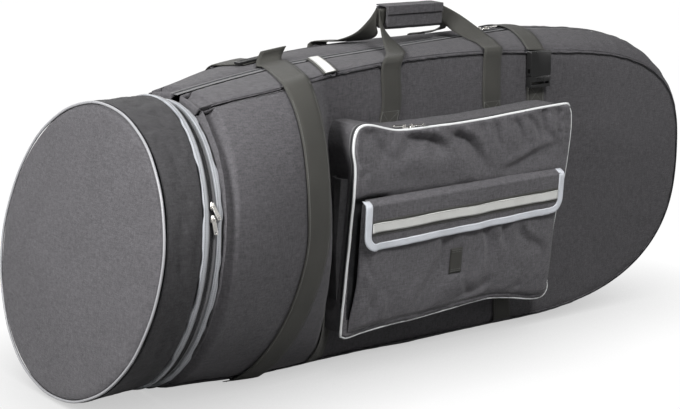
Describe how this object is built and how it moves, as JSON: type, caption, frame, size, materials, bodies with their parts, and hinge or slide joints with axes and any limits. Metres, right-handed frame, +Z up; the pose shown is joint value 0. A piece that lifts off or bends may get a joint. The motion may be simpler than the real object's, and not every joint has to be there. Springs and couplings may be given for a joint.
{
  "type": "tuba gig bag",
  "caption": "Padded fabric carrying bag for a tuba, lying on its long edge: zip-on bell cover, front pocket with a flap, crest zip, webbing handle, neck and buckle straps.",
  "frame": {"origin": "a point of the flat strip that the bag rests on, midway along the body", "axes": "+X along the bag from the bell cover to the bow end, -Y out of the face with the pocket, +Z up"},
  "size_m": [1.313, 0.4811, 0.5913],
  "materials": {
    "nylon_charcoal": "woven charcoal nylon over foam padding",
    "zip_tape": "black zip tape with nylon coil",
    "nickel": "nickel-plated zinc",
    "binding_grey": "ribbed mid grey binding tape",
    "webbing": "ribbed polypropylene webbing",
    "piping_white": "white vinyl piping",
    "nylon_dark": "woven dark charcoal nylon over foam padding",
    "buckle_plastic": "moulded black acetal",
    "reflective": "retro-reflective silver tape",
    "binding_pale": "pale grey binding tape"
  },
  "bodies": {
    "shell": {"front_panel": "nylon_charcoal", "rear_panel": "nylon_charcoal", "top_gusset_front": "nylon_charcoal", "top_gusset_rear": "nylon_charcoal", "bottom_gusset": "nylon_charcoal", "main_zip": "zip_tape", "bell_zip_body_half": "zip_tape", "body_binding": "binding_grey", "body_hinge_leaf": "webbing", "neck_strap_front": "webbing", "neck_strap_rear": "webbing", "neck_strap_lock": "buckle_plastic", "top_band_webbing": "webbing", "top_band_reflector": "reflective", "handle_strap_front": "webbing", "handle_strap_rear": "webbing", "grip_wrap": "nylon_dark", "buckle_strap_upper": "webbing", "buckle_strap_lower": "webbing", "buckle_female": "buckle_plastic", "pocket_gusset": "nylon_charcoal", "pocket_zip": "zip_tape", "side_pocket": "nylon_dark", "shoulder_strap_upper": "nylon_dark", "shoulder_webbing_upper": "webbing", "shoulder_lock_upper": "buckle_plastic", "shoulder_strap_lower": "nylon_dark", "shoulder_webbing_lower": "webbing", "shoulder_lock_lower": "buckle_plastic"},
    "bell_cover": {"bell_cover_disc": "nylon_charcoal", "bell_cover_piping": "piping_white", "bell_cover_wall": "nylon_dark", "cover_binding": "binding_grey", "bell_zip_cover_half": "zip_tape", "cover_hinge_leaf": "webbing"},
    "pocket_front": {"pocket_front": "nylon_charcoal", "pocket_piping": "piping_white", "pouch": "nylon_charcoal", "loop_patch": "webbing"},
    "pouch_flap": {"pouch_flap": "nylon_charcoal", "flap_binding": "binding_pale", "flap_webbing": "webbing", "flap_reflector": "reflective"},
    "grip_flap": {"grip_flap": "nylon_dark"},
    "buckle_male": {"buckle_male": "buckle_plastic"},
    "buckle_prong_left": {"buckle_prong_left": "buckle_plastic"},
    "buckle_prong_right": {"buckle_prong_right": "buckle_plastic"},
    "bell_zip_upper_slider": {"bell_zip_upper_slider": "nickel"},
    "bell_zip_upper_pull": {"bell_zip_upper_pull": "nickel"},
    "bell_zip_lower_slider": {"bell_zip_lower_slider": "nickel"},
    "bell_zip_lower_pull": {"bell_zip_lower_pull": "nickel"},
    "main_zip_left_slider": {"main_zip_left_slider": "nickel"},
    "main_zip_left_pull": {"main_zip_left_pull": "nickel"},
    "main_zip_right_slider": {"main_zip_right_slider": "nickel"},
    "main_zip_right_pull": {"main_zip_right_pull": "nickel"},
    "pocket_left_slider": {"pocket_left_slider": "nickel"},
    "pocket_left_pull": {"pocket_left_pull": "nickel"},
    "pocket_right_slider": {"pocket_right_slider": "nickel"},
    "pocket_right_pull": {"pocket_right_pull": "nickel"}
  },
  "joints": [
    {"name": "bell_cover_hinge", "type": "hinge", "parent": "shell", "child": "bell_cover", "pos_m": [-0.54589, 0.24067, 0.236], "axis": [-0.1768, 0.0093, -0.9842], "range_deg": [0, 110]},
    {"name": "bell_zip_upper_travel", "type": "hinge", "parent": "shell", "child": "bell_zip_upper_slider", "pos_m": [-0.5585, 0, 0.236], "axis": [-0.9828, 0.0515, 0.1771], "range_deg": [0, 132]},
    {"name": "bell_zip_lower_travel", "type": "hinge", "parent": "shell", "child": "bell_zip_lower_slider", "pos_m": [-0.5585, 0, 0.236], "axis": [-0.9828, 0.0515, 0.1771], "range_deg": [-150, 0]},
    {"name": "bell_zip_upper_pull_hinge", "type": "hinge", "parent": "bell_zip_upper_slider", "child": "bell_zip_upper_pull", "pos_m": [-0.55096, -0.21113, 0.33927], "axis": [-0.9717, -0.1308, -0.1965], "range_deg": [0, 100]},
    {"name": "bell_zip_lower_pull_hinge", "type": "hinge", "parent": "bell_zip_lower_slider", "child": "bell_zip_lower_pull", "pos_m": [-0.55471, -0.21929, 0.32082], "axis": [-0.9989, 0.0013, 0.0479], "range_deg": [0, 100]},
    {"name": "main_zip_left_travel", "type": "slide", "parent": "shell", "child": "main_zip_left_slider", "axis": [-0.9981, 0, -0.0619], "range_m": [0, 0.3]},
    {"name": "main_zip_right_travel", "type": "slide", "parent": "shell", "child": "main_zip_right_slider", "axis": [0.9981, 0, 0.0619], "range_m": [0, 0.01]},
    {"name": "main_zip_left_pull_hinge", "type": "hinge", "parent": "main_zip_left_slider", "child": "main_zip_left_pull", "pos_m": [0.12429, 0, 0.53685], "axis": [0, 1, 0], "range_deg": [0, 100]},
    {"name": "main_zip_right_pull_hinge", "type": "hinge", "parent": "main_zip_right_slider", "child": "main_zip_right_pull", "pos_m": [0.13829, 0, 0.53763], "axis": [0, -1, 0], "range_deg": [0, 100]},
    {"name": "pocket_left_travel", "type": "slide", "parent": "shell", "child": "pocket_left_slider", "axis": [-0.9965, -0.0358, 0.0757], "range_m": [0, 0.012]},
    {"name": "pocket_right_travel", "type": "slide", "parent": "shell", "child": "pocket_right_slider", "axis": [0.9993, 0.0301, 0.022], "range_m": [0, 0.22]},
    {"name": "pocket_left_pull_hinge", "type": "hinge", "parent": "pocket_left_slider", "child": "pocket_left_pull", "pos_m": [-0.17183, -0.1767, 0.41738], "axis": [-0.0314, 0.9977, 0.0593], "range_deg": [0, 100]},
    {"name": "pocket_right_pull_hinge", "type": "hinge", "parent": "pocket_right_slider", "child": "pocket_right_pull", "pos_m": [-0.1582, -0.17625, 0.41705], "axis": [-0.3123, -0.9479, -0.0632], "range_deg": [0, 100]},
    {"name": "pocket_front_hinge", "type": "hinge", "parent": "shell", "child": "pocket_front", "pos_m": [-0.28776, -0.16575, 0.06891], "axis": [0.9992, 0.0326, -0.0209], "range_deg": [0, 95]},
    {"name": "pouch_flap_hinge", "type": "hinge", "parent": "pocket_front", "child": "pouch_flap", "pos_m": [-0.26008, -0.18728, 0.30588], "axis": [-0.9995, -0.0309, -0.0089], "range_deg": [0, 100]},
    {"name": "grip_flap_hinge", "type": "hinge", "parent": "shell", "child": "grip_flap", "pos_m": [-0.093, 0.017, 0.5883], "axis": [-1, 0, 0], "range_deg": [0, 120]},
    {"name": "buckle_release", "type": "slide", "parent": "shell", "child": "buckle_male", "axis": [0, -0.0291, -0.9996], "range_m": [0, 0.0145]},
    {"name": "buckle_prong_left_hinge", "type": "hinge", "parent": "buckle_male", "child": "buckle_prong_left", "pos_m": [0.1488, -0.11972, 0.4656], "axis": [0, 0.9996, -0.0291], "range_deg": [0, 11], "stiffness_Nm_per_rad": 0.05},
    {"name": "buckle_prong_right_hinge", "type": "hinge", "parent": "buckle_male", "child": "buckle_prong_right", "pos_m": [0.1802, -0.11972, 0.4656], "axis": [0, 0.9996, -0.0291], "range_deg": [-11, 0], "stiffness_Nm_per_rad": 0.05}
  ],
  "couplings": [
    {"joint": "buckle_prong_right_hinge", "follows": "buckle_prong_left_hinge", "ratio": -1}
  ]
}
